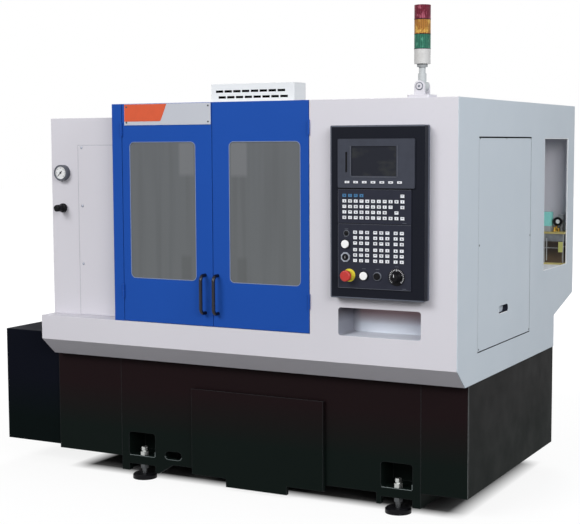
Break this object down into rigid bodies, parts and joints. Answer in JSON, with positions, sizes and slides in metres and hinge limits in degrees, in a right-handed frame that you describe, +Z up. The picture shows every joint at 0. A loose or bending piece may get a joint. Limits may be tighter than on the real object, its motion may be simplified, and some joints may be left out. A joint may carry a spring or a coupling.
{
  "type": "cnc turning lathe",
  "caption": "Slant-bed turning lathe in a white and blue sheet-metal enclosure, with swing doors, an angled operator panel and a signal tower, on a black cast base.",
  "frame": {"origin": "middle of the bounding box's footprint, on the floor", "axes": "+X along the machine's length towards the control panel, +Y towards the machine's back, +Z up"},
  "size_m": [2.368, 1.762, 2.059],
  "materials": {
    "white_sheet": "satin",
    "blue_sheet": "satin",
    "base_black": "satin",
    "sheet_black": "satin",
    "bezel_black": "satin",
    "unit_grey": "matte",
    "handle_black": "satin",
    "window_grey": "polished",
    "plate_silver": "satin",
    "zinc_steel": "satin",
    "ground_steel": "satin",
    "grey_casting": "satin",
    "motor_black": "satin",
    "belt_rubber": "matte",
    "screw_chrome": "polished",
    "guard_steel": "satin",
    "cabinet_zinc": "satin",
    "tank_plastic": "satin",
    "pump_teal": "satin",
    "stop_red": "polished",
    "button_white": "polished",
    "button_dark": "polished",
    "lock_steel": "polished",
    "knob_black": "matte",
    "gauge_face": "satin",
    "pole_aluminium": "satin",
    "lamp_white": "satin",
    "lens_plastic": "polished"
  },
  "bodies": {
    "machine": {"bed_base": "base_black", "slant_bed": "grey_casting", "left_base_panel": "sheet_black", "right_base_panel": "sheet_black", "motor_cover": "sheet_black", "levelling_feet": "zinc_steel", "front_panel": "white_sheet", "right_side_panel": "white_sheet", "right_access_panel": "white_sheet", "left_housing": "white_sheet", "left_access_panel": "white_sheet", "access_screws": "screw_chrome", "roof_panel": "white_sheet", "roof_vent_cover": "white_sheet", "rear_panel": "white_sheet", "electrical_cabinet": "cabinet_zinc", "lubricator_tank": "tank_plastic", "lubricator_pump": "pump_teal", "chip_guard": "guard_steel", "door_post": "blue_sheet", "door_hinges": "blue_sheet", "headstock": "grey_casting", "drive_belt": "belt_rubber", "spindle_motor": "motor_black", "z_rails": "ground_steel", "z_motor": "motor_black", "panel_bezel": "bezel_black", "display_unit": "unit_grey", "mdi_keypad": "unit_grey", "operator_panel": "unit_grey", "air_gauge": "gauge_face"},
    "left_door": {"left_door": "blue_sheet", "left_window": "window_grey", "left_handle": "handle_black", "nameplate": "plate_silver"},
    "right_door": {"right_door": "blue_sheet", "right_window": "window_grey", "right_handle": "handle_black"},
    "chip_drawer": {"chip_drawer": "sheet_black"},
    "spindle": {"spindle": "ground_steel", "collet_chuck": "ground_steel"},
    "motor_rotor": {"motor_rotor": "ground_steel"},
    "saddle": {"saddle": "grey_casting", "x_motor": "motor_black"},
    "z_screw": {"z_screw": "ground_steel"},
    "cross_slide": {"cross_slide": "grey_casting", "tool_holders": "ground_steel"},
    "x_screw": {"x_screw": "ground_steel"},
    "cabinet_door": {"cabinet_door": "white_sheet"},
    "main_switch": {"main_switch": "stop_red"},
    "stop_button": {"stop_button": "stop_red"},
    "upper_white_button": {"upper_white_button": "button_white"},
    "lower_white_button": {"lower_white_button": "button_white"},
    "dark_button": {"dark_button": "button_dark"},
    "key_lock": {"key_lock": "lock_steel"},
    "override_knob": {"override_knob": "knob_black"},
    "regulator_knob": {"regulator_knob": "knob_black"},
    "signal_tower": {"tower_pole": "pole_aluminium", "tower_base": "lamp_white", "signal_lenses": "lens_plastic"}
  },
  "joints": [
    {"name": "left_door_swing", "type": "hinge", "parent": "machine", "child": "left_door", "pos_m": [-0.3795, -0.7845, 1.2], "axis": [0, 0, -1], "range_deg": [0, 110]},
    {"name": "right_door_swing", "type": "hinge", "parent": "machine", "child": "right_door", "pos_m": [0.5405, -0.7845, 1.2], "axis": [0, 0, 1], "range_deg": [0, 110]},
    {"name": "chip_drawer_pull", "type": "slide", "parent": "machine", "child": "chip_drawer", "axis": [0, -1, 0], "range_m": [0, 0.5]},
    {"name": "spindle_turn", "type": "hinge", "parent": "machine", "child": "spindle", "pos_m": [-0.396, -0.349, 1.08], "axis": [1, 0, 0], "continuous": true},
    {"name": "motor_turn", "type": "hinge", "parent": "machine", "child": "motor_rotor", "pos_m": [-0.636, -0.349, 0.36], "axis": [1, 0, 0], "continuous": true},
    {"name": "z_slide", "type": "slide", "parent": "machine", "child": "saddle", "axis": [1, 0, 0], "range_m": [-0.08, 0.1]},
    {"name": "z_screw_turn", "type": "hinge", "parent": "machine", "child": "z_screw", "pos_m": [0.084, -0.19909, 0.93009], "axis": [1, 0, 0], "continuous": true},
    {"name": "x_slide", "type": "slide", "parent": "saddle", "child": "cross_slide", "axis": [0, 0.7071, 0.7071], "range_m": [-0.04, 0.13]},
    {"name": "x_screw_turn", "type": "hinge", "parent": "saddle", "child": "x_screw", "pos_m": [0.084, -0.26768, 0.99868], "axis": [0, 0.7071, 0.7071], "continuous": true},
    {"name": "cabinet_door_swing", "type": "hinge", "parent": "machine", "child": "cabinet_door", "pos_m": [-0.5305, 0.8325, 1.2], "axis": [0, 0, 1], "range_deg": [0, 110]},
    {"name": "main_switch_turn", "type": "hinge", "parent": "cabinet_door", "child": "main_switch", "pos_m": [0.738, 0.846, 1.4], "axis": [0, 1, 0], "range_deg": [0, 90]},
    {"name": "stop_button_press", "type": "slide", "parent": "machine", "child": "stop_button", "axis": [0, 1, 0], "range_m": [0, 0.006]},
    {"name": "upper_white_button_press", "type": "slide", "parent": "machine", "child": "upper_white_button", "axis": [0, 1, 0], "range_m": [0, 0.003], "stiffness_N_per_m": 400},
    {"name": "lower_white_button_press", "type": "slide", "parent": "machine", "child": "lower_white_button", "axis": [0, 1, 0], "range_m": [0, 0.003], "stiffness_N_per_m": 400},
    {"name": "dark_button_press", "type": "slide", "parent": "machine", "child": "dark_button", "axis": [0, 1, 0], "range_m": [0, 0.003], "stiffness_N_per_m": 400},
    {"name": "key_lock_turn", "type": "hinge", "parent": "machine", "child": "key_lock", "pos_m": [0.732, -0.836, 1.074], "axis": [0, 1, 0], "range_deg": [0, 90]},
    {"name": "override_knob_turn", "type": "hinge", "parent": "machine", "child": "override_knob", "pos_m": [0.952, -0.836, 1.002], "axis": [0, 1, 0], "range_deg": [-150, 150]},
    {"name": "regulator_knob_turn", "type": "hinge", "parent": "machine", "child": "regulator_knob", "pos_m": [-0.773, -0.688, 1.235], "axis": [0, 1, 0], "range_deg": [-720, 720]},
    {"name": "signal_tower_fold", "type": "hinge", "parent": "machine", "child": "signal_tower", "pos_m": [1.008, -0.719, 1.745], "axis": [0, -1, 0], "range_deg": [0, 90]}
  ],
  "couplings": [
    {"joint": "motor_turn", "follows": "spindle_turn", "ratio": 1},
    {"joint": "z_screw_turn", "follows": "z_slide", "rad_per_m": 628.32},
    {"joint": "x_screw_turn", "follows": "x_slide", "rad_per_m": 628.32}
  ]
}
